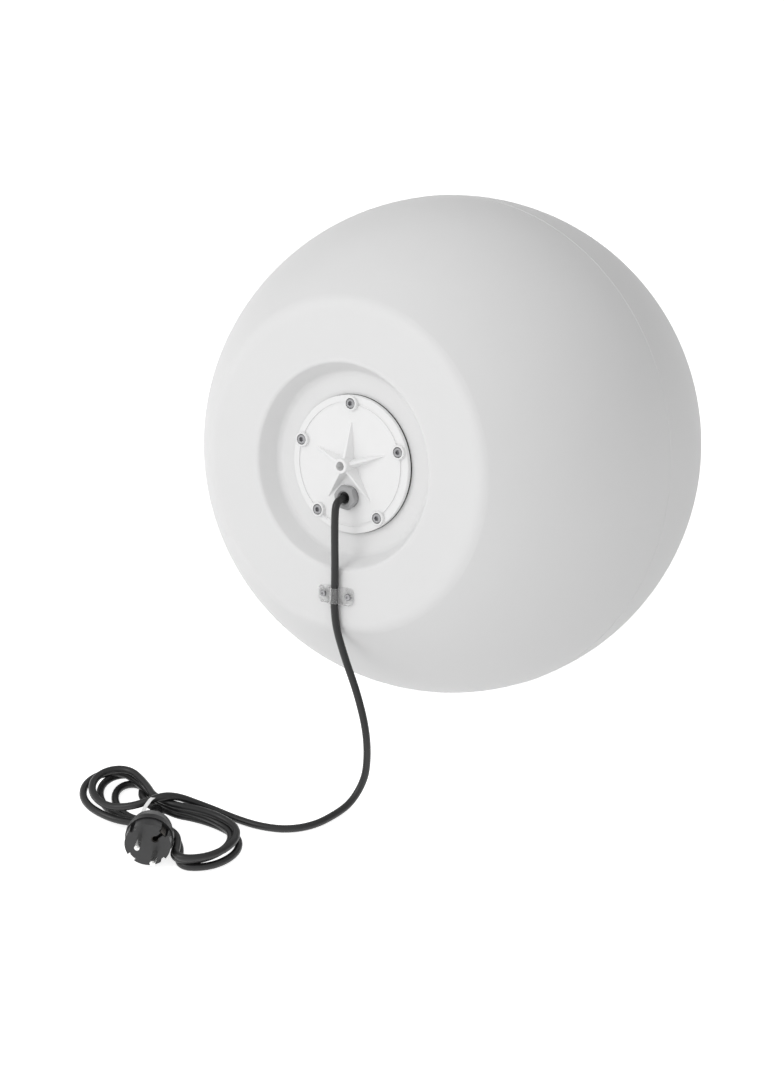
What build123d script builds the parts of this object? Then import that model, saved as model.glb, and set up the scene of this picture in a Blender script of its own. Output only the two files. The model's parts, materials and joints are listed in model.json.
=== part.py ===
from build123d import *
from math import atan2, cos, pi, radians, sin, sqrt, tan
import os

os.makedirs("parts", exist_ok=True)

# Millimetres and degrees. The globe lies on the floor, its base facing -Y and tilted up.

# Driving dimensions: globe
globe_radius = 225
wall = 3.5
axis_tilt = 17.1
globe_y = -7.2
flat_height = 174.6
edge_round = 17
lip_radius = 89.5
recess_floor = 155.5
recess_radius = 80
mouth_radius = 44
seam_proud = 0.25
seam_width = 1.2

# Driving dimensions: cover and its screws
cover_top = 161
cover_thick = 4
cover_radius = 60
gasket_thick = recess_floor - (cover_top - cover_thick)
screw_count = 5
screw_ring = 53
screw_clock = 99.7
ring_boss_radius = 6.3
ring_boss_high = 3
head_radius = 4.25
head_high = 4.6
washer_thick = 0.8
shank_radius = 2.45
shank_long = 13
boss_radius = 6.5
boss_high = 15.4
socket_radius = 4.0
socket_deep = 12
arm_reach = 37
arm_high = 11.5
spigot_radius = 43.4

# Driving dimensions: gland, clip and cord
gland_clock = screw_clock + 180
gland_offset = 28.3
thread_radius = 7.9
hex_flats = 19.3
cord_diameter = 6.6
cord_radius = cord_diameter / 2
clip_offset = 112.4
clip_pitch = 26
clip_long = 36
clip_wide = 15.5
clip_foot = 2.2
cord_lift = 4.0

# Driving dimensions: lamp inside
foot_height = 149
bridge_height = 129.5
strap_thick = 1.5
strap_wide = 22
holder_top = bridge_height - strap_thick
holder_mouth = 92
shell_radius = 13.3
cap_radius = 13.2

# Driving dimensions: plug
plug_face = Vector(-12.5, -431.2, 24.5)
plug_heading = radians(-56.9)
plug_pitch = radians(6)
pin_roll = radians(-49)
pin_pitch = 19
pin_radius = 2.4
pin_long = 19
front_radius = 19.5
front_deep = 11
collar_radius = 20.5
plug_long = 60

axis_dir = Vector(0, -cos(radians(axis_tilt)), sin(radians(axis_tilt)))
face_up = Vector(0, sin(radians(axis_tilt)), cos(radians(axis_tilt)))
globe_centre = Vector(0, globe_y, globe_radius)
lamp = Plane(origin=globe_centre, x_dir=(1, 0, 0), z_dir=axis_dir)
section = Plane(origin=globe_centre, x_dir=(1, 0, 0), z_dir=-face_up)
lamp_axis = Axis(globe_centre, axis_dir)


def around(angle, radius, height):
    """Point at a radius and a clock angle round the lamp axis, at a height along it."""
    return lamp.from_local_coords((radius * cos(radians(angle)), radius * sin(radians(angle)), height))


def across_plane(angle, radius, height):
    """Plane across a radial line: local x runs round the axis and local y along it."""
    outward = around(angle, 1, 0) - around(angle, 0, 0)
    return Plane(origin=around(angle, radius, height), x_dir=axis_dir.cross(outward), z_dir=outward)


def keep(piece, name):
    """Label one finished piece and write it."""
    piece.part.label = name
    export_step(piece.part, f"parts/{name}.step")


gland = Plane(origin=around(gland_clock, gland_offset, 0), x_dir=(1, 0, 0), z_dir=axis_dir)
gland_axis = Axis(gland.origin, axis_dir)
gland_section = Plane(origin=gland.origin, x_dir=(1, 0, 0), z_dir=-face_up)
clip = Plane(
    origin=around(gland_clock, clip_offset, flat_height),
    x_dir=around(gland_clock + 90, 1, 0) - around(gland_clock, 0, 0),
    z_dir=axis_dir,
)

# ---------------------------------------------------------------- globe
edge_radius = sqrt((globe_radius - edge_round) ** 2 - (flat_height - edge_round) ** 2)
edge_angle = atan2(flat_height - edge_round, edge_radius)


def on_circle(centre, radius, angle):
    """Point of a circle in the section sketch."""
    return (centre[0] + radius * cos(angle), centre[1] + radius * sin(angle))


edge_centre = (edge_radius, flat_height - edge_round)
with BuildPart() as globe_shell:
    with BuildSketch(section):
        with BuildLine():
            ball = ThreePointArc(
                (0, -globe_radius),
                on_circle((0, 0), globe_radius, (edge_angle - pi / 2) / 2),
                on_circle((0, 0), globe_radius, edge_angle),
            )
            edge = ThreePointArc(
                ball @ 1,
                on_circle(edge_centre, edge_round, (edge_angle + pi / 2) / 2),
                (edge_radius, flat_height),
            )
            recess = FilletPolyline(
                edge @ 1,
                (lip_radius, flat_height),
                (recess_radius, recess_floor),
                (mouth_radius, recess_floor),
                radius=[4, 6],
            )
            offset(amount=wall, side=Side.LEFT, closed=True)
        make_face()
    revolve(axis=lamp_axis)
    with BuildSketch(section):
        with Locations((globe_radius - 1 + seam_proud / 2, 0)):
            Rectangle(2 + seam_proud, seam_width)
    revolve(axis=lamp_axis)
    with BuildSketch(lamp.offset(recess_floor - wall / 2)):
        with PolarLocations(screw_ring, screw_count, screw_clock):
            Circle(8)
    extrude(amount=-14)
    with BuildSketch(lamp.offset(recess_floor)):
        with PolarLocations(screw_ring, screw_count, screw_clock):
            Circle(4)
    extrude(amount=-12, mode=Mode.SUBTRACT)
    with BuildSketch(clip):
        with GridLocations(clip_pitch, 1, 2, 1):
            Circle(1.4)
    extrude(amount=-wall - 2, mode=Mode.SUBTRACT)
keep(globe_shell, "globe_shell")

with BuildPart() as screw_inserts:
    with BuildSketch(lamp.offset(recess_floor)):
        with PolarLocations(screw_ring, screw_count, screw_clock):
            Circle(4)
            Circle(2.5, mode=Mode.SUBTRACT)
    extrude(amount=-12)
keep(screw_inserts, "screw_inserts")

# ---------------------------------------------------------------- cover
cover_under = cover_top - cover_thick
with BuildPart() as cover_gasket:
    with BuildSketch(lamp.offset(recess_floor)):
        Circle(cover_radius + 0.2)
        Circle(mouth_radius + 1.5, mode=Mode.SUBTRACT)
        with PolarLocations(screw_ring, screw_count, screw_clock):
            Circle(shank_radius + 0.4, mode=Mode.SUBTRACT)
    extrude(amount=cover_under - recess_floor)
keep(cover_gasket, "cover_gasket")

ring_boss_top = cover_top + ring_boss_high
head_seat = ring_boss_top - head_high
boss_top = cover_top + boss_high
bracket_clock = gland_clock + 90
bracket_reach = 36


def arm_section(width, ridge, height):
    """Trapezoid across one arm of the star, its foot sunk a little into the cover."""
    foot = -0.5
    Polygon((-width / 2, foot), (width / 2, foot), (ridge / 2, height), (-ridge / 2, height), align=None)


with BuildPart() as cover_plate:
    with BuildSketch(lamp.offset(cover_under)):
        Circle(cover_radius)
    extrude(amount=cover_thick)
    fillet(cover_plate.edges().group_by(lamp_axis)[-1], 0.8)
    with BuildSketch(lamp.offset(cover_top)):
        Circle(screw_ring + 1.2)
        Circle(screw_ring - 1.2, mode=Mode.SUBTRACT)
    extrude(amount=-0.9, mode=Mode.SUBTRACT)
    with BuildSketch(lamp.offset(cover_top - 1)):
        with PolarLocations(screw_ring, screw_count, screw_clock):
            Circle(ring_boss_radius)
    extrude(amount=ring_boss_high + 1)
    fillet(cover_plate.edges().group_by(lamp_axis)[-1], 0.7)
    for arm in range(screw_count):
        arm_clock = screw_clock + arm * 360 / screw_count
        with BuildSketch(across_plane(arm_clock, 3, cover_top)):
            arm_section(9, 2.6, arm_high)
        with BuildSketch(across_plane(arm_clock, arm_reach, cover_top)):
            arm_section(1.8, 0.8, 0.5)
        loft()
    with BuildSketch(lamp.offset(cover_top - 1)):
        Circle(boss_radius)
    extrude(amount=boss_high + 1)
    fillet(cover_plate.edges().group_by(lamp_axis)[-1], 0.8)
    with BuildSketch(lamp.offset(cover_under + 1)):
        Circle(spigot_radius)
        Circle(spigot_radius - 2.5, mode=Mode.SUBTRACT)
        with PolarLocations(bracket_reach, 2, bracket_clock):
            Circle(4.5)
    extrude(amount=-1 - (cover_under - foot_height))
    with BuildSketch(lamp.offset(foot_height)):
        with PolarLocations(bracket_reach, 2, bracket_clock):
            Circle(1.9)
    extrude(amount=9, mode=Mode.SUBTRACT)
    with BuildSketch(lamp.offset(boss_top)):
        Circle(socket_radius)
    extrude(amount=-socket_deep, mode=Mode.SUBTRACT)
    with BuildSketch(lamp.offset(ring_boss_top)):
        with PolarLocations(screw_ring, screw_count, screw_clock):
            Circle(head_radius + 0.45)
    extrude(amount=-head_high - washer_thick, mode=Mode.SUBTRACT)
    with BuildSketch(lamp.offset(cover_top)):
        with PolarLocations(screw_ring, screw_count, screw_clock):
            Circle(shank_radius + 0.25)
    extrude(amount=-cover_thick - 1, mode=Mode.SUBTRACT)
    with BuildSketch(lamp.offset(cover_top)):
        with PolarLocations(gland_offset, 1, gland_clock):
            Circle(thread_radius + 0.2)
    extrude(amount=-cover_thick - 1, mode=Mode.SUBTRACT)
    with BuildSketch(lamp.offset(cover_top - 0.5)):
        with PolarLocations(screw_ring + 2.5, 1, screw_clock + 154):
            Rectangle(1.2, 3.4)
    extrude(amount=1.0)
keep(cover_plate, "cover_plate")

with BuildPart() as cover_washers:
    with BuildSketch(lamp.offset(head_seat - washer_thick)):
        with PolarLocations(screw_ring, screw_count, screw_clock):
            Circle(head_radius + 0.3)
            Circle(shank_radius + 0.1, mode=Mode.SUBTRACT)
    extrude(amount=washer_thick)
keep(cover_washers, "cover_washers")

with BuildPart() as cover_screws:
    with BuildSketch(lamp.offset(head_seat)):
        with PolarLocations(screw_ring, screw_count, screw_clock):
            Circle(head_radius)
    extrude(amount=head_high)
    chamfer(cover_screws.edges().group_by(lamp_axis)[-1], 0.5)
    with BuildSketch(lamp.offset(ring_boss_top)):
        with PolarLocations(screw_ring, screw_count, screw_clock):
            RegularPolygon(radius=2.3, side_count=6)
    extrude(amount=-2.6, mode=Mode.SUBTRACT)
    with BuildSketch(lamp.offset(head_seat)):
        with PolarLocations(screw_ring, screw_count, screw_clock):
            Circle(shank_radius)
    extrude(amount=-shank_long)
keep(cover_screws, "cover_screws")

# ---------------------------------------------------------------- cable gland
gland_washer_top = cover_top + 0.8
flange_top = gland_washer_top + 1.2
body_top = flange_top + 4.2
nut_foot = flange_top + 0.4
nut_roof = body_top + 1.1
nut_top = nut_roof + 1.4
locknut_thick = 5
cord_start = cover_top + 2

with BuildPart() as gland_washer:
    with BuildSketch(gland.offset(cover_top)):
        Circle(9.7)
        Circle(thread_radius + 0.1, mode=Mode.SUBTRACT)
    extrude(amount=gland_washer_top - cover_top)
keep(gland_washer, "gland_washer")

with BuildPart() as gland_body:
    with BuildSketch(gland.offset(gland_washer_top)):
        Circle(9.8)
    extrude(amount=flange_top - gland_washer_top)
    with BuildSketch(gland.offset(cover_under - 9)):
        Circle(thread_radius)
    extrude(amount=body_top - cover_under + 9)
    with BuildSketch(gland.offset(body_top)):
        Circle(6.1)
    extrude(amount=cover_top - body_top, mode=Mode.SUBTRACT)
    with BuildSketch(gland.offset(cover_under - 9)):
        Circle(3.7)
    extrude(amount=30, mode=Mode.SUBTRACT)
keep(gland_body, "gland_body")

with BuildPart() as gland_seal:
    with BuildSketch(gland.offset(cover_top + 0.1)):
        Circle(6.0)
        Circle(cord_radius + 0.05, mode=Mode.SUBTRACT)
    extrude(amount=body_top - cover_top - 0.1)
keep(gland_seal, "gland_seal")

with BuildPart() as gland_clamp_ring:
    with BuildSketch(gland.offset(body_top + 0.05)):
        Circle(thread_radius - 0.3)
        Circle(5.2, mode=Mode.SUBTRACT)
    extrude(amount=nut_roof - body_top - 0.1)
keep(gland_clamp_ring, "gland_clamp_ring")

with BuildPart() as gland_nut:
    with BuildSketch(gland.offset(nut_foot)):
        RegularPolygon(radius=hex_flats / 2, side_count=6, major_radius=False)
    extrude(amount=nut_top - nut_foot)
    with BuildSketch(gland_section):
        with BuildLine():
            Polyline(
                (hex_flats * 0.44, nut_top + 1),
                (hex_flats * 0.44, nut_top),
                (hex_flats * 0.6, nut_top - 2.2),
                (hex_flats * 0.6, nut_top + 1),
                close=True,
            )
        make_face()
    revolve(axis=gland_axis, mode=Mode.SUBTRACT)
    with BuildSketch(gland.offset(nut_foot)):
        Circle(thread_radius + 0.08)
    extrude(amount=nut_roof - nut_foot, mode=Mode.SUBTRACT)
    with BuildSketch(gland.offset(nut_roof)):
        Circle(5.6)
    extrude(amount=nut_top - nut_roof, mode=Mode.SUBTRACT)
    chamfer(gland_nut.edges().filter_by(GeomType.CIRCLE).group_by(lamp_axis)[-1].sort_by(SortBy.RADIUS)[0], 0.8)
keep(gland_nut, "gland_nut")

with BuildPart() as gland_locknut:
    with BuildSketch(gland.offset(cover_under)):
        RegularPolygon(radius=hex_flats / 2, side_count=6, major_radius=False)
        Circle(thread_radius + 0.1, mode=Mode.SUBTRACT)
    extrude(amount=-locknut_thick)
keep(gland_locknut, "gland_locknut")

# ---------------------------------------------------------------- cable clip
with BuildPart() as cable_clip:
    with BuildSketch(clip):
        RectangleRounded(clip_long, clip_wide, 5)
    extrude(amount=clip_foot)
    with BuildSketch(Plane(origin=clip.origin, x_dir=clip.x_dir, z_dir=-clip.y_dir)):
        with Locations((0, cord_lift)):
            Circle(cord_radius + 2.3)
    extrude(amount=clip_wide / 2 - 1.2, both=True)
    with BuildSketch(Plane(origin=clip.origin, x_dir=clip.x_dir, z_dir=-clip.y_dir)):
        with Locations((0, cord_lift)):
            Circle(cord_radius + 0.15)
        with Locations((0, cord_lift / 2 - 2)):
            Rectangle(cord_diameter + 0.3, cord_lift + 4)
    extrude(amount=clip_wide, both=True, mode=Mode.SUBTRACT)
    with BuildSketch(clip.offset(-6)):
        Rectangle(clip_long * 2, clip_wide * 2)
    extrude(amount=6, mode=Mode.SUBTRACT)
    with BuildSketch(clip):
        with GridLocations(clip_pitch, 1, 2, 1):
            Circle(1.7)
    extrude(amount=clip_foot + 4, mode=Mode.SUBTRACT)
keep(cable_clip, "cable_clip")

with BuildPart() as clip_screws:
    with BuildSketch(clip.offset(clip_foot)):
        with GridLocations(clip_pitch, 1, 2, 1):
            Circle(2.9)
    extrude(amount=1.7)
    fillet(clip_screws.edges().group_by(lamp_axis)[-1], 0.8)
    with BuildSketch(clip.offset(clip_foot)):
        with GridLocations(clip_pitch, 1, 2, 1):
            Circle(1.35)
    extrude(amount=-clip_foot - 9)
    with BuildSketch(clip.offset(clip_foot + 1.7)):
        with GridLocations(clip_pitch, 1, 2, 1):
            Rectangle(2.4, 0.7)
            Rectangle(0.7, 2.4)
    extrude(amount=-0.9, mode=Mode.SUBTRACT)
keep(clip_screws, "clip_screws")

# ---------------------------------------------------------------- lampholder and its bracket
strap_dir = around(bracket_clock, 1, 0) - around(bracket_clock, 0, 0)
strap_side = Plane(origin=globe_centre, x_dir=strap_dir, z_dir=strap_dir.cross(axis_dir))
leg_reach = 30
foot_end = 40.5
earth_reach = 22.5
terminal_reach = 14
terminal_spread = 22
with BuildPart() as lamp_bracket:
    with BuildSketch(strap_side):
        with BuildLine():
            strap = FilletPolyline(
                (-foot_end, foot_height),
                (-leg_reach, foot_height),
                (-leg_reach, bridge_height),
                (leg_reach, bridge_height),
                (leg_reach, foot_height),
                (foot_end, foot_height),
                radius=2.5,
            )
            offset(amount=strap_thick, side=Side.RIGHT, closed=True)
        make_face()
    extrude(amount=strap_wide / 2, both=True)
    with BuildSketch(lamp.offset(foot_height)):
        with PolarLocations(bracket_reach, 2, bracket_clock):
            Circle(2.1)
    extrude(amount=-6, mode=Mode.SUBTRACT)
    with BuildSketch(lamp.offset(bridge_height)):
        Circle(5.1)
    extrude(amount=-6, mode=Mode.SUBTRACT)
    with BuildSketch(lamp.offset(bridge_height)):
        with PolarLocations(earth_reach, 1, bracket_clock):
            Circle(1.6)
    extrude(amount=-6, mode=Mode.SUBTRACT)
keep(lamp_bracket, "lamp_bracket")

with BuildPart() as bracket_screws:
    with BuildSketch(lamp.offset(foot_height - strap_thick)):
        with PolarLocations(bracket_reach, 2, bracket_clock):
            Circle(3.5)
    extrude(amount=-2.2)
    with BuildSketch(lamp.offset(foot_height - strap_thick)):
        with PolarLocations(bracket_reach, 2, bracket_clock):
            Circle(1.85)
    extrude(amount=9)
keep(bracket_screws, "bracket_screws")

with BuildPart() as holder_nipple:
    with BuildSketch(lamp.offset(holder_top - 7)):
        Circle(5)
        Circle(3.6, mode=Mode.SUBTRACT)
    extrude(amount=16)
keep(holder_nipple, "holder_nipple")

with BuildPart() as nipple_nut:
    with BuildSketch(lamp.offset(bridge_height)):
        RegularPolygon(radius=7, side_count=6, major_radius=False)
        Circle(5.1, mode=Mode.SUBTRACT)
    extrude(amount=4)
keep(nipple_nut, "nipple_nut")

cavity_top = holder_top - 8
with BuildPart() as lampholder_body:
    with BuildSketch(section):
        with BuildLine():
            Polyline(
                (0, holder_top),
                (15, holder_top),
                (20, holder_top - 5),
                (20, holder_mouth + 12),
                (18, holder_mouth + 12),
                (18, holder_mouth),
                (14.1, holder_mouth),
                (14.1, cavity_top),
                (0, cavity_top),
                close=True,
            )
        make_face()
    revolve(axis=lamp_axis)
    with BuildSketch(lamp.offset(holder_top)):
        Circle(5.1)
    extrude(amount=-7.2, mode=Mode.SUBTRACT)
    with BuildSketch(lamp.offset(cavity_top + 1)):
        Circle(3)
    extrude(amount=-2, mode=Mode.SUBTRACT)
    with BuildSketch(lamp.offset(holder_top)):
        with PolarLocations(terminal_reach, 1, gland_clock - terminal_spread):
            Circle(1.4)
        with PolarLocations(terminal_reach, 1, gland_clock + terminal_spread):
            Circle(1.4)
    extrude(amount=-8, mode=Mode.SUBTRACT)
keep(lampholder_body, "lampholder_body")

with BuildPart() as lampholder_ring:
    with BuildSketch(lamp.offset(holder_mouth + 1)):
        Circle(22.5)
        Circle(18.1, mode=Mode.SUBTRACT)
    extrude(amount=10)
    fillet(lampholder_ring.edges().group_by(lamp_axis)[0].sort_by(SortBy.RADIUS)[-1], 1.5)
keep(lampholder_ring, "lampholder_ring")

with BuildPart() as lampholder_shell:
    with BuildSketch(lamp.offset(holder_mouth + 0.5)):
        Circle(14)
        Circle(shell_radius, mode=Mode.SUBTRACT)
    extrude(amount=cavity_top - holder_mouth - 1)
keep(lampholder_shell, "lampholder_shell")

lamp_top = cavity_top - 2.6
with BuildPart() as contact_tongue:
    with BuildSketch(lamp.offset(lamp_top)):
        Circle(3.4)
    extrude(amount=1)
    with BuildSketch(lamp.offset(lamp_top + 1)):
        Circle(2.6)
    extrude(amount=2.4)
keep(contact_tongue, "contact_tongue")

# ---------------------------------------------------------------- lamp
with BuildPart() as bulb_contact:
    with BuildSketch(lamp.offset(lamp_top)):
        Circle(4)
    extrude(amount=-1.6)
keep(bulb_contact, "bulb_contact")

with BuildPart() as bulb_insulator:
    with BuildSketch(section):
        with BuildLine():
            Polyline(
                (0, lamp_top - 1.6),
                (5, lamp_top - 1.6),
                (10.5, lamp_top - 5),
                (0, lamp_top - 5),
                close=True,
            )
        make_face()
    revolve(axis=lamp_axis)
keep(bulb_insulator, "bulb_insulator")

cap_foot = holder_mouth - 0.5
with BuildPart() as bulb_cap:
    with BuildSketch(section):
        with BuildLine():
            Polyline(
                (0, lamp_top - 5),
                (10.5, lamp_top - 5),
                (cap_radius, lamp_top - 7.5),
                (cap_radius, cap_foot),
                (12.4, cap_foot),
                (12.4, lamp_top - 7.5),
                (0, lamp_top - 7.5),
                close=True,
            )
        make_face()
    revolve(axis=lamp_axis)
keep(bulb_cap, "bulb_cap")

housing_low = 56
housing_radius = 29
with BuildPart() as bulb_housing:
    with BuildSketch(section):
        with BuildLine():
            neck = Polyline((0, cap_foot + 8), (12.3, cap_foot + 8), (12.3, cap_foot), (14.5, cap_foot))
            flare = Spline(neck @ 1, (18, 78), (housing_radius, housing_low), tangents=[(0, -1), (0.35, -1)])
            Polyline(flare @ 1, (0, housing_low), neck @ 0)
        make_face()
    revolve(axis=lamp_axis)
keep(bulb_housing, "bulb_housing")

dome_radius = 30.5
dome_rise = sqrt(dome_radius**2 - housing_radius**2)
dome_centre = (0, housing_low - dome_rise)
dome_start = atan2(dome_rise, housing_radius)
with BuildPart() as bulb_dome:
    with BuildSketch(section):
        with BuildLine():
            rim = Line((0, housing_low), (housing_radius, housing_low))
            crown = ThreePointArc(
                rim @ 1,
                on_circle(dome_centre, dome_radius, (dome_start - pi / 2) / 2),
                (0, dome_centre[1] - dome_radius),
            )
            Line(crown @ 1, rim @ 0)
        make_face()
    revolve(axis=lamp_axis)
keep(bulb_dome, "bulb_dome")


# ---------------------------------------------------------------- leads inside
lead_radius = 1.1


def bend_radii(points):
    """Round each corner as far as its two runs allow."""
    radii = []
    for before, corner, after in zip(points, points[1:], points[2:]):
        turn = radians((corner - before).get_angle(after - corner))
        shorter = min((corner - before).length, (after - corner).length)
        radii.append(0.45 * shorter / tan(turn / 2))
    return radii


def lead(name, points):
    """One insulated lead: straight runs joined by round bends, written as its own piece."""
    with BuildPart() as piece:
        with BuildLine():
            FilletPolyline(*points, radius=bend_radii(points))
        with BuildSketch(Plane(origin=points[0], z_dir=points[1] - points[0])):
            Circle(lead_radius)
        sweep()
    keep(piece, name)


cable_foot = cover_under - 12
with BuildPart() as cable_end:
    with BuildSketch(gland.offset(cord_start)):
        Circle(cord_radius)
    extrude(amount=cable_foot - cord_start)
keep(cable_end, "cable_end")


def from_gland(x, y, height):
    """Point beside the gland's axis."""
    return gland.from_local_coords((x, y, height))


for name, side in (("lead_live", -1), ("lead_neutral", 1)):
    clock = gland_clock + side * terminal_spread
    lead(
        name,
        [
            from_gland(side * 1.8, -0.6, cable_foot),
            from_gland(side * 1.8, -0.6, cable_foot - 5),
            around(clock, terminal_reach + 7, holder_top + 8),
            around(clock, terminal_reach, holder_top + 6),
            around(clock, terminal_reach, holder_top - 3),
        ],
    )
lead(
    "lead_earth",
    [
        from_gland(0, 2.1, cable_foot),
        from_gland(0.3, 2.2, cable_foot - 4),
        around(bracket_clock - 35, 24, bridge_height + 8),
        around(bracket_clock, earth_reach + 0.5, bridge_height + 6),
        around(bracket_clock, earth_reach, bridge_height + 1.4),
    ],
)
with BuildPart() as earth_screw:
    with BuildSketch(lamp.offset(bridge_height)):
        with PolarLocations(earth_reach, 1, bracket_clock):
            Circle(1.5)
    extrude(amount=-4)
    with BuildSketch(lamp.offset(bridge_height)):
        with PolarLocations(earth_reach, 1, bracket_clock):
            Circle(3)
    extrude(amount=1.2)
keep(earth_screw, "earth_screw")

# ---------------------------------------------------------------- plug
plug_level = Vector(cos(plug_heading), sin(plug_heading), 0)
plug_dir = plug_level * cos(plug_pitch) + Vector(0, 0, sin(plug_pitch))
plug_side = Vector(0, 0, 1).cross(plug_level)
pin_dir = plug_side * cos(pin_roll) + plug_dir.cross(plug_side) * sin(pin_roll)
plug = Plane(origin=plug_face, x_dir=pin_dir, z_dir=plug_dir)
plug_axis = Axis(plug_face, plug_dir)
plug_section = Plane(origin=plug_face, x_dir=pin_dir, z_dir=pin_dir.cross(plug_dir))
notch_floor = 16.5


def body_outline(extra):
    """Half outline of the plug's rubber body, grown by a clearance."""
    Polygon(
        (0, extra - front_deep),
        (collar_radius + extra, extra - front_deep),
        (collar_radius + extra, -17),
        (collar_radius - 3 + extra, -28 - extra),
        (9 + extra, -38 - extra),
        (6.2 + extra, -45 - extra),
        (5.2 + extra, -plug_long),
        (0, -plug_long),
        align=None,
    )


with BuildPart() as plug_body:
    with BuildSketch(plug_section):
        body_outline(0)
    revolve(axis=plug_axis)
    for rib in range(4):
        with BuildSketch(plug.offset(-47 - rib * 3.2)):
            Circle(8)
            Circle(4.4, mode=Mode.SUBTRACT)
        extrude(amount=-1.5, mode=Mode.SUBTRACT)
keep(plug_body, "plug_body")

with BuildPart() as plug_front:
    with BuildSketch(plug):
        Circle(front_radius)
        with Locations((0, front_radius), (0, -front_radius)):
            Rectangle(8, 2 * (front_radius - notch_floor), mode=Mode.SUBTRACT)
        with Locations((front_radius, 0), (-front_radius, 0)):
            Rectangle(4.4, 5.4, mode=Mode.SUBTRACT)
    extrude(amount=-front_deep)
    with BuildSketch(plug):
        with Locations((pin_pitch / 2, 0), (-pin_pitch / 2, 0)):
            Circle(pin_radius - 0.28)
        with Locations((0, 8.7)):
            Circle(3.2)
        with Locations((0, 13)):
            Rectangle(3, 8)
    extrude(amount=-9, mode=Mode.SUBTRACT)
keep(plug_front, "plug_front")

with BuildPart() as plug_pins:
    with BuildSketch(plug):
        with Locations((pin_pitch / 2, 0), (-pin_pitch / 2, 0)):
            Circle(pin_radius)
    extrude(amount=pin_long)
    fillet(plug_pins.edges().group_by(plug_axis)[-1], 1.8)
    with BuildSketch(plug):
        with Locations((pin_pitch / 2, 0), (-pin_pitch / 2, 0)):
            Circle(pin_radius - 0.3)
    extrude(amount=-8.9)
keep(plug_pins, "plug_pins")

with BuildPart() as plug_earth_clips:
    with BuildSketch(plug.offset(-0.6)):
        with Locations((0, notch_floor + 0.7), (0, -notch_floor - 0.7)):
            Rectangle(5, 1)
    extrude(amount=-front_deep + 0.8)
keep(plug_earth_clips, "plug_earth_clips")

with BuildPart() as plug_earth_sleeve:
    with BuildSketch(plug.offset(-0.8)):
        with Locations((0, 8.7)):
            Circle(3.1)
            Circle(2.5, mode=Mode.SUBTRACT)
        with Locations((0, 12)):
            Rectangle(3, 8, mode=Mode.SUBTRACT)
    extrude(amount=-8)
keep(plug_earth_sleeve, "plug_earth_sleeve")

# ---------------------------------------------------------------- free cord
cord_rest = cord_radius + 0.05
over_cover = [(28.3, cord_start), (28.3, 171.5), (34.5, 177), (48, 178.9), (68, 180.4), (92, 178.6), (132.8, 178.6)]
to_floor = [
    (38, -223, 124),
    (58, -230, 95),
    (73, -237, 63),
    (77.5, -243.5, 32),
    (76, -251, 16.5),
    (74, -264, 6.2),
    (71, -280, cord_rest),
    (66, -304, cord_rest),
    (51, -323, cord_rest),
    (29, -333, cord_rest),
    (5, -336.5, cord_rest),
]
route = [around(gland_clock, reach, height) for reach, height in over_cover]
route += [Vector(*point) for point in to_floor]


radii = bend_radii(route)
print("cord bend radii", [round(radius, 1) for radius in radii])
with BuildPart() as cord:
    with BuildLine() as cord_path:
        FilletPolyline(*route, radius=radii)
    with BuildSketch(Plane(origin=route[0], z_dir=axis_dir)):
        Circle(cord_radius)
    sweep()
keep(cord, "cord")
cord_free_length = cord_path.wires()[0].length
print("cord free length", round(cord_free_length, 1))
print("cord volume over section times length", cord.part.volume / (pi * cord_radius**2 * cord_free_length))

# ---------------------------------------------------------------- hank and tie
hank_waist = (-45, -384)
hank_high = 17
waist_radius = 14.5
waist_height = waist_radius + 1.2
with BuildPart() as cord_hank:
    with BuildSketch(Plane.XY.offset(0.05)):
        with Locations((-89, -384)):
            Ellipse(38, 35)
        with Locations((9, -386)):
            Ellipse(40, 33, rotation=-18)
        with BuildLine():
            Polyline(
                (-75, -354),
                (hank_waist[0], hank_waist[1] + 12),
                (-26, -344),
                (-12, -340),
                (12, -352),
                (-10, -402),
                (hank_waist[0], hank_waist[1] - 12),
                (-78, -408),
                close=True,
            )
        make_face()
    extrude(amount=hank_high)
    with BuildSketch(Plane.YZ.offset(hank_waist[0] - 24)):
        with Locations((hank_waist[1], waist_height)):
            Circle(waist_radius)
    extrude(amount=48)
    with BuildSketch(Plane(origin=route[-1], z_dir=route[-1] - route[-2])):
        Circle(cord_radius)
    extrude(amount=26)
    with BuildSketch(plug_section):
        body_outline(0.6)
    revolve(axis=plug_axis, mode=Mode.SUBTRACT)
    with BuildSketch(plug):
        Circle(front_radius + 0.6)
    extrude(amount=-front_deep, mode=Mode.SUBTRACT)
    with BuildSketch(Plane.YZ.offset(hank_waist[0] - 4)):
        Rectangle(2000, 200)
        with Locations((hank_waist[1], waist_height)):
            Circle(waist_radius, mode=Mode.SUBTRACT)
    extrude(amount=4, mode=Mode.SUBTRACT)
keep(cord_hank, "cord_hank")

with BuildPart() as cord_tie:
    with BuildSketch(Plane.YZ.offset(hank_waist[0] - 3.7)):
        with Locations((hank_waist[1], waist_height)):
            Circle(waist_radius + 1)
            Circle(waist_radius + 0.1, mode=Mode.SUBTRACT)
    extrude(amount=3.4)
keep(cord_tie, "cord_tie")
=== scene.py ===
import json
import math

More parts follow.
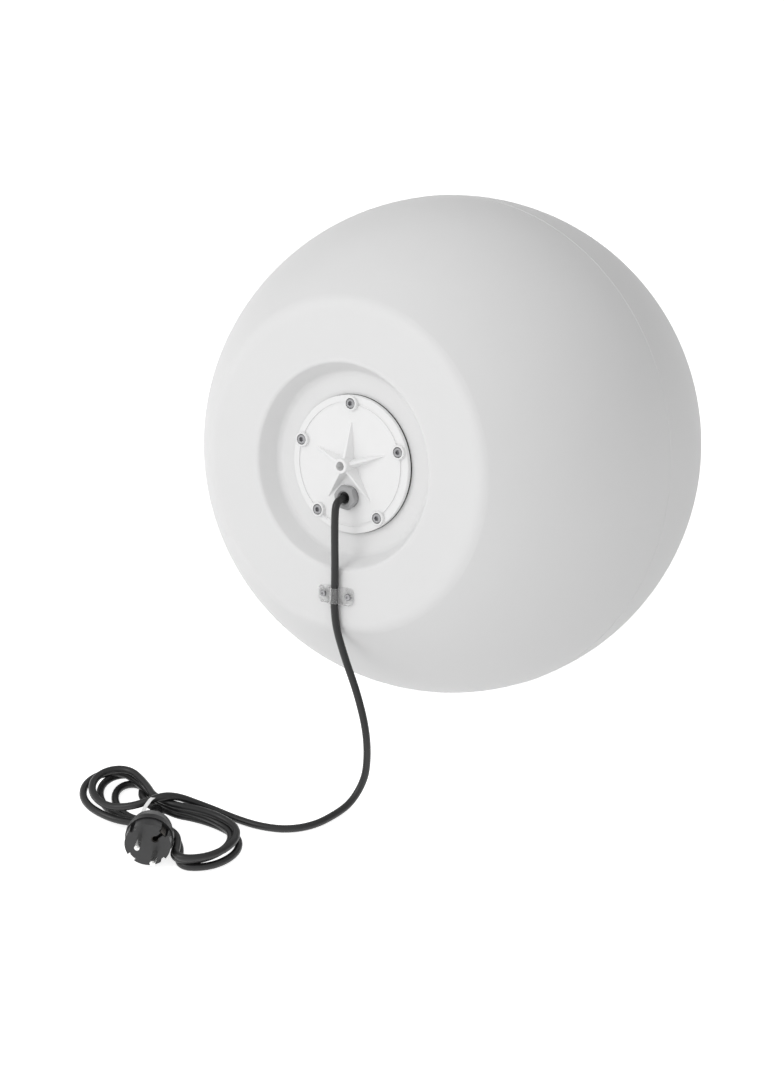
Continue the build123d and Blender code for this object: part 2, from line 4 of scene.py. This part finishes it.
import bmesh
import bpy
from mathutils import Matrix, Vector


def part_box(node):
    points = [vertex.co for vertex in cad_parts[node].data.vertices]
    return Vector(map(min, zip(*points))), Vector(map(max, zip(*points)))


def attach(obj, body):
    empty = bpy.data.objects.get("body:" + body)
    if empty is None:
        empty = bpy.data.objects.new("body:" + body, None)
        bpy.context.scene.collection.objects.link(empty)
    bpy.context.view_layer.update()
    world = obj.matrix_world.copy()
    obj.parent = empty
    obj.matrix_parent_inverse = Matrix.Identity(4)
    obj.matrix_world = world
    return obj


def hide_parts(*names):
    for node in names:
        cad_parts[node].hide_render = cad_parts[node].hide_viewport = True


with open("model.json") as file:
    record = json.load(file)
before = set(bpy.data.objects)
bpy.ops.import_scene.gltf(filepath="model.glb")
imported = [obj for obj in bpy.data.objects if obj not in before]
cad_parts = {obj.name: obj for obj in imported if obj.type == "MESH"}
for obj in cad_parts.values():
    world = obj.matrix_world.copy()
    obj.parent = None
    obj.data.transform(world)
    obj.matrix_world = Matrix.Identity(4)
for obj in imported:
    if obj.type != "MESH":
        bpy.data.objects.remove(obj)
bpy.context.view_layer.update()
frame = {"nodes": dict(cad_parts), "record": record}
MM = 0.001

# ---------------------------------------------------------------- places in the row frame
globe_low, globe_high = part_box("globe_shell")
GLOBE_RADIUS = (globe_high.z - globe_low.z) / 2
GLOBE = Vector((0, globe_high.y - GLOBE_RADIUS, globe_low.z + GLOBE_RADIUS))
TILT = math.radians(17.1)
AXIS = Vector((0, -math.cos(TILT), math.sin(TILT)))
FACE_UP = Vector((0, math.sin(TILT), math.cos(TILT)))
GLAND_CLOCK = math.radians(279.7)
GLAND_SIDE = Vector((math.cos(GLAND_CLOCK), 0, 0)) + FACE_UP * math.sin(GLAND_CLOCK)


def on_gland_side(reach, height):
    """Point on the gland's side: its distance from the lamp axis and height along it, in mm."""
    return GLOBE + (GLAND_SIDE * reach + AXIS * height) * MM


# ---------------------------------------------------------------- camera
CAMERA_PLACE = Vector((1.238, -1.8045, 1.392))
CAMERA_LOOKS = Vector((-0.5089, 0.7007, -0.5))
RIGHT = CAMERA_LOOKS.cross(Vector((0, 0, 1))).normalized()
UP = RIGHT.cross(CAMERA_LOOKS).normalized()
BACK = Vector((-CAMERA_LOOKS.x, -CAMERA_LOOKS.y, 0)).normalized()

camera_data = bpy.data.cameras.new("camera")
camera_data.lens = 92.03
camera_data.sensor_width = 36
camera_data.clip_end = 50
camera = bpy.data.objects.new("camera", camera_data)
bpy.context.scene.collection.objects.link(camera)
camera.location = CAMERA_PLACE
camera.rotation_euler = CAMERA_LOOKS.to_track_quat("-Z", "Y").to_euler()
bpy.context.scene.camera = camera
bpy.context.scene.view_settings.view_transform = "Standard"

# ---------------------------------------------------------------- one soft key light, high at the left
KEY_DISTANCE = 2.6
KEY_SIZE = 1.0
KEY_POWER = 9.5
key_way = (RIGHT * -1.0 + BACK * 0.5 + Vector((0, 0, 0.8))).normalized()
key_data = bpy.data.lights.new("key_left", "AREA")
key_data.size = KEY_SIZE
key_data.energy = KEY_POWER
key = bpy.data.objects.new("key_left", key_data)
bpy.context.scene.collection.objects.link(key)
key.location = GLOBE + key_way * KEY_DISTANCE
key.rotation_euler = (-key_way).to_track_quat("-Z", "Y").to_euler()

# A large soft tent: brightest at the left and front, dimmest at the right and back.
TENT_GLOW = 0.64
TENT_LEAN = RIGHT * -0.25 + UP * -0.05 - CAMERA_LOOKS * 0.325
world = bpy.data.worlds.new("studio")
world.use_nodes = True
bpy.context.scene.world = world
tent = world.node_tree
tent.nodes["Background"].inputs["Color"].default_value = (1, 1, 1, 1)
sky_way = tent.nodes.new("ShaderNodeTexCoord")
lean = tent.nodes.new("ShaderNodeVectorMath")
lean.operation = "DOT_PRODUCT"
lean.inputs[1].default_value = TENT_LEAN
tent.links.new(sky_way.outputs["Generated"], lean.inputs[0])
glow = tent.nodes.new("ShaderNodeMath")
glow.operation = "ADD"
glow.inputs[1].default_value = TENT_GLOW
tent.links.new(lean.outputs["Value"], glow.inputs[0])
tent.links.new(glow.outputs["Value"], tent.nodes["Background"].inputs["Strength"])

# ---------------------------------------------------------------- materials
GLOSS_SPREAD = 0.07


def surface(name, color, roughness, metallic=0.0, grain=None, mottle=None, scatter=0.0):
    """Procedural surface: grain is (size in mm, height in mm), mottle is (size in mm, amount)."""
    material = bpy.data.materials.new(name)
    material.use_nodes = True
    nodes = material.node_tree.nodes
    links = material.node_tree.links
    shader = nodes["Principled BSDF"]
    shader.inputs["Base Color"].default_value = (*color, 1)
    shader.inputs["Roughness"].default_value = roughness
    shader.inputs["Metallic"].default_value = metallic
    place = nodes.new("ShaderNodeTexCoord")
    if scatter:
        shader.inputs["Subsurface Weight"].default_value = scatter
        shader.inputs["Subsurface Radius"].default_value = (1, 1, 1)
        shader.inputs["Subsurface Scale"].default_value = 12 * MM
    if mottle:
        size, amount = mottle
        noise = nodes.new("ShaderNodeTexNoise")
        noise.inputs["Scale"].default_value = 1 / (size * MM)
        noise.inputs["Detail"].default_value = 5
        links.new(place.outputs["Object"], noise.inputs["Vector"])
        darker = [channel * (1 - amount) for channel in color]
        lighter = [min(1, channel * (1 + amount)) for channel in color]
        mix = nodes.new("ShaderNodeMix")
        mix.data_type = "RGBA"
        mix.inputs[6].default_value = (*darker, 1)
        mix.inputs[7].default_value = (*lighter, 1)
        links.new(noise.outputs["Fac"], mix.inputs[0])
        links.new(mix.outputs[2], shader.inputs["Base Color"])
        gloss = nodes.new("ShaderNodeMapRange")
        gloss.inputs["To Min"].default_value = max(0.02, roughness - GLOSS_SPREAD)
        gloss.inputs["To Max"].default_value = min(1, roughness + GLOSS_SPREAD)
        links.new(noise.outputs["Fac"], gloss.inputs["Value"])
        links.new(gloss.outputs["Result"], shader.inputs["Roughness"])
    if grain:
        size, height = grain
        fine = nodes.new("ShaderNodeTexNoise")
        fine.inputs["Scale"].default_value = 1 / (size * MM)
        fine.inputs["Detail"].default_value = 3
        links.new(place.outputs["Object"], fine.inputs["Vector"])
        bump = nodes.new("ShaderNodeBump")
        bump.inputs["Distance"].default_value = height * MM
        bump.inputs["Strength"].default_value = 1
        links.new(fine.outputs["Fac"], bump.inputs["Height"])
        links.new(bump.outputs["Normal"], shader.inputs["Normal"])
    return material


def clear_plastic(name):
    """Frosted clear plastic of the cable clip."""
    material = surface(name, (0.99, 0.99, 0.99), 0.2, grain=(0.8, 0.02))
    shader = material.node_tree.nodes["Principled BSDF"]
    shader.inputs["Transmission Weight"].default_value = 0.92
    shader.inputs["IOR"].default_value = 1.12
    return material


def white(name, level, roughness, **detail):
    return surface(name, (level, level, level), roughness, **detail)


def metal(name, color, roughness, **detail):
    return surface(name, color, roughness, metallic=1, **detail)


def lead(name, color):
    """Insulation of one core of the cord."""
    return surface(name, color, 0.4, grain=(0.5, 0.01), mottle=(5, 0.05))


LOOKS = {
    "globe": white("moulded_polyethylene", 0.80, 0.5, grain=(2.2, 0.02), mottle=(60, 0.012), scatter=0.25),
    "cover": white("white_cover", 0.84, 0.38, grain=(0.7, 0.012), mottle=(14, 0.012), scatter=0.1),
    "brass": metal("plain_brass", (0.74, 0.55, 0.25), 0.28, grain=(0.5, 0.01), mottle=(4, 0.08)),
    "rubber": surface("black_gasket", (0.012, 0.012, 0.012), 0.6, grain=(0.4, 0.02), mottle=(5, 0.2)),
    "steel": metal("stainless_screws", (0.34, 0.34, 0.35), 0.3, grain=(0.35, 0.02), mottle=(2.5, 0.25)),
    "zinc_steel": metal("zinc_plate", (0.6, 0.61, 0.62), 0.35, grain=(0.6, 0.01), mottle=(6, 0.1)),
    "grey_plastic": surface("grey_polyamide", (0.36, 0.36, 0.365), 0.42, grain=(0.6, 0.015), mottle=(6, 0.05)),
    "clear_plastic": clear_plastic("frosted_clip"),
    "black_plastic": surface("black_thermoset", (0.02, 0.02, 0.02), 0.35, grain=(0.6, 0.01), mottle=(8, 0.15)),
    "tin": metal("lamp_cap_metal", (0.7, 0.7, 0.7), 0.3, grain=(0.5, 0.01), mottle=(4, 0.08)),
    "bulb_white": surface("lamp_housing", (0.85, 0.85, 0.83), 0.3, grain=(0.8, 0.008), mottle=(12, 0.015)),
    "bulb_diffuser": surface(
        "lamp_diffuser", (0.9, 0.9, 0.88), 0.4, grain=(0.6, 0.006), mottle=(12, 0.01), scatter=0.4
    ),
    "cord": surface("rubber_sheath", (0.013, 0.013, 0.0135), 0.36, grain=(0.5, 0.02), mottle=(9, 0.22)),
    "lead_brown": lead("brown_lead", (0.22, 0.09, 0.04)),
    "lead_blue": lead("blue_lead", (0.03, 0.14, 0.5)),
    "lead_green": lead("green_lead", (0.2, 0.5, 0.06)),
    "plug_rubber": surface("plug_rubber", (0.012, 0.012, 0.0125), 0.4, grain=(0.6, 0.025), mottle=(7, 0.2)),
    "plug_face": surface("plug_face", (0.024, 0.024, 0.025), 0.36, grain=(0.5, 0.012), mottle=(6, 0.12)),
    "pin_metal": metal("nickel_pins", (0.78, 0.78, 0.77), 0.2, grain=(0.5, 0.006), mottle=(3, 0.06)),
    "tie": white("paper_tie", 0.85, 0.6, grain=(0.5, 0.03), mottle=(2, 0.03)),
}

slot_of = {entry["node"]: entry["material_slot"] for entry in frame["record"]["subparts"]}
for node, piece in frame["nodes"].items():
    piece.data.materials.clear()
    piece.data.materials.append(LOOKS[slot_of[node]])
    for face in piece.data.polygons:
        face.material_index = 0

# The plug's earth contacts lie deep in its face; their dark metal colour is painted shade, standing in for the
# shade of that recess.
painted_shade_contact = metal("painted_shade_earth_contacts", (0.07, 0.065, 0.06), 0.5, grain=(0.5, 0.01), mottle=(3, 0.2))
for node in ("plug_earth_clips", "plug_earth_sleeve"):
    frame["nodes"][node].data.materials[0] = painted_shade_contact


def dress(piece, slot):
    """Material, slot and body of a new piece."""
    piece.data.materials.append(LOOKS[slot])
    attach(piece, "globe")


# ---------------------------------------------------------------- cord: one spline from gland to plug
CORD_DIAMETER = 6.6 * MM
REST = 3.35
WAIST = Vector((-45, -384, 15.7))
STRAND_RING = 10.9
WAIST_SIDE = 6

PLUG_FACE = Vector((-12.5, -431.2, 24.5))
PLUG_LONG = 60
PLUG_HEADING = math.radians(-56.9)
PLUG_PITCH = math.radians(6)
PLUG_WAY = Vector((math.cos(PLUG_HEADING), math.sin(PLUG_HEADING), 0)) * math.cos(PLUG_PITCH)
PLUG_WAY.z = math.sin(PLUG_PITCH)
PLUG_TAIL = PLUG_FACE - PLUG_WAY * PLUG_LONG

# Out of the gland and over the cover to the clip: distance from the lamp axis and height along it.
over_cover = [(28.3, 163), (28.3, 174.5), (33, 181), (46, 181.5), (68, 180.4), (92, 178.6), (132.8, 178.6)]
# Down the globe's front and along the floor to the hank.
to_floor = [
    (38, -223, 124),
    (58, -230, 95),
    (73, -237, 63),
    (77.5, -243.5, 32),
    (76, -251, 16.5),
    (74, -264, 6.2),
    (71, -280, REST),
    (66, -304, REST),
    (51, -323, REST),
    (29, -333, REST),
    (5, -336.5, REST),
]
over_waist = [(-13, -342, 8), (-26, -352, 16), (-35, -363, 25), (-43, -375, 30)]
into_plug = [(-76, -366, 11), (-63, -375, 15.5), (-54, -379.5, 17.5)]

# Plan of one lobe on each side of the tie: the left from its front to its back, the right from back to front.
left_lobe = [
    (-57, -397),
    (-70, -404),
    (-86, -407),
    (-103, -405),
    (-118, -397),
    (-128, -383),
    (-129, -367),
    (-121, -354),
    (-107, -349),
    (-90, -354),
    (-73, -363),
    (-58, -373),
]
right_lobe = [
    (-34, -373),
    (-22, -364),
    (-7, -357),
    (9, -354),
    (24, -358),
    (33, -370),
    (35, -385),
    (31, -400),
    (23, -411),
    (13, -418),
    (4, -416),
    (-1, -407),
    (-8, -398),
    (-17, -392),
    (-27, -389),
    (-37, -388),
]
# Each turn: its plan, where it enters and leaves the bundle in degrees, its size along and across,
# its height and its shift to the back.
turns = [
    (left_lobe, 95, 40, 0.88, 0.90, 18, 3),
    (right_lobe, 40, 215, 1.00, 1.00, 14, 0),
    (left_lobe, 215, 10, 0.98, 1.00, 11, 0),
    (right_lobe, 10, 240, 0.94, 0.93, 9.5, -1),
    (left_lobe, 240, -22, 0.88, 0.88, 7, 13),
    (right_lobe, -22, 266, 1.03, 0.96, 4.2, 1),
    (left_lobe, 266, -55, 0.72, 0.66, 3.6, 17),
]
# The last turn leaves its lobe early and goes into the plug.
LEFT_OUT = 3


def ring(angle):
    """Place of a strand in the bundle at the tie: y and z offsets for an angle in degrees."""
    return STRAND_RING * math.cos(math.radians(angle)), STRAND_RING * math.sin(math.radians(angle))


def turn(plan, enter, leave, along, across, height, shift):
    """Points of one turn: the plan scaled about the tie, drawn into the bundle at both its ends."""
    first_side = WAIST_SIDE if plan is right_lobe else -WAIST_SIDE
    points = []
    for index, (x, y) in enumerate(plan):
        part = (index + 0.5) / len(plan)
        out = math.sin(math.pi * part)
        drawn_in = max(0, 1 - 1.6 * out)
        near_y, near_z = ring(enter if part < 0.5 else leave)
        plan_y = first_side if part < 0.5 else -first_side
        points.append(
            Vector(
                (
                    WAIST.x + (x - WAIST.x) * along,
                    WAIST.y + (y - WAIST.y) * across + (near_y - plan_y) * drawn_in + shift * out,
                    height + (WAIST.z + near_z - height) * drawn_in,
                )
            )
        )
    return points


hank = [point for values in turns for point in turn(*values)][:-LEFT_OUT]
on_floor = [Vector(point) for point in to_floor + over_waist] + hank + [Vector(point) for point in into_plug]
cord_points = [on_gland_side(reach, height) for reach, height in over_cover]
cord_points += [point * MM for point in on_floor + [PLUG_TAIL]]

curve = bpy.data.curves.new("mains_cord", "CURVE")
curve.dimensions = "3D"
curve.bevel_depth = CORD_DIAMETER / 2
curve.bevel_resolution = 7
curve.use_fill_caps = True
spline = curve.splines.new("NURBS")
spline.points.add(len(cord_points) - 1)
for point, place in zip(spline.points, cord_points):
    point.co = (*place, 1)
spline.order_u = 3
spline.use_endpoint_u = True
spline.resolution_u = 10
mains_cord = bpy.data.objects.new("mains_cord", curve)
bpy.context.scene.collection.objects.link(mains_cord)
dress(mains_cord, "cord")
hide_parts("cord", "cord_hank")

# ---------------------------------------------------------------- twist tie
TIE_WIDE = 3.6 * MM
TIE_THICK = 0.5 * MM
TIE_RADIUS = STRAND_RING * MM + CORD_DIAMETER / 2 + TIE_THICK
TIE_STEPS = 60
TIE_START = 100
TIE_WAVES = 7
TIE_WAVE = 0.25 * MM
TIE_PLACE = (WAIST + Vector((-2, 0, 0))) * MM


def strip(name, rail, across, thick):
    """Flat band that follows a rail of points; across is its half width as a vector."""
    mesh = bpy.data.meshes.new(name)
    band = bmesh.new()
    rows = []
    for index, place in enumerate(rail):
        ahead = rail[min(index + 1, len(rail) - 1)] - rail[max(index - 1, 0)]
        out = ahead.cross(across).normalized() * thick / 2
        corners = (place - across - out, place + across - out, place + across + out, place - across + out)
        rows.append([band.verts.new(corner) for corner in corners])
    for low, high in zip(rows, rows[1:]):
        for k in range(4):
            band.faces.new((low[k], low[(k + 1) % 4], high[(k + 1) % 4], high[k]))
    band.faces.new(rows[0][::-1])
    band.faces.new(rows[-1])
    bmesh.ops.recalc_face_normals(band, faces=band.faces)
    band.to_mesh(mesh)
    band.free()
    piece = bpy.data.objects.new(name, mesh)
    bpy.context.scene.collection.objects.link(piece)
    edges = piece.modifiers.new("edges", "BEVEL")
    edges.width = thick * 0.3
    edges.segments = 2
    return piece


tie_rail = []
for step in range(TIE_STEPS + 1):
    angle = math.radians(TIE_START + 360 * step / TIE_STEPS)
    wave = Vector((TIE_WAVE * math.sin(TIE_WAVES * angle), 0, 0))
    tie_rail.append(TIE_PLACE + wave + Vector((0, math.cos(angle), math.sin(angle))) * TIE_RADIUS)
tie_band = strip("tie_band", tie_rail, Vector((TIE_WIDE / 2, 0, 0)), TIE_THICK)
dress(tie_band, "tie")
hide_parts("cord_tie")

# ---------------------------------------------------------------- floor
FLOOR_HALF = 12
corners = [(-1, -1), (1, -1), (1, 1), (-1, 1)]
mesh = bpy.data.meshes.new("floor")
mesh.from_pydata([(x * FLOOR_HALF, y * FLOOR_HALF, 0) for x, y in corners], [], [(0, 1, 2, 3)])
floor = bpy.data.objects.new("floor", mesh)
bpy.context.scene.collection.objects.link(floor)
paper = white("floor_paper", 0.86, 0.9, mottle=(400, 0.004))
paper_shader = paper.node_tree.nodes["Principled BSDF"]
paper_shader.inputs["Emission Color"].default_value = (1, 1, 1, 1)
paper_shader.inputs["Emission Strength"].default_value = 0.75
floor.data.materials.append(paper)
floor.visible_diffuse = False
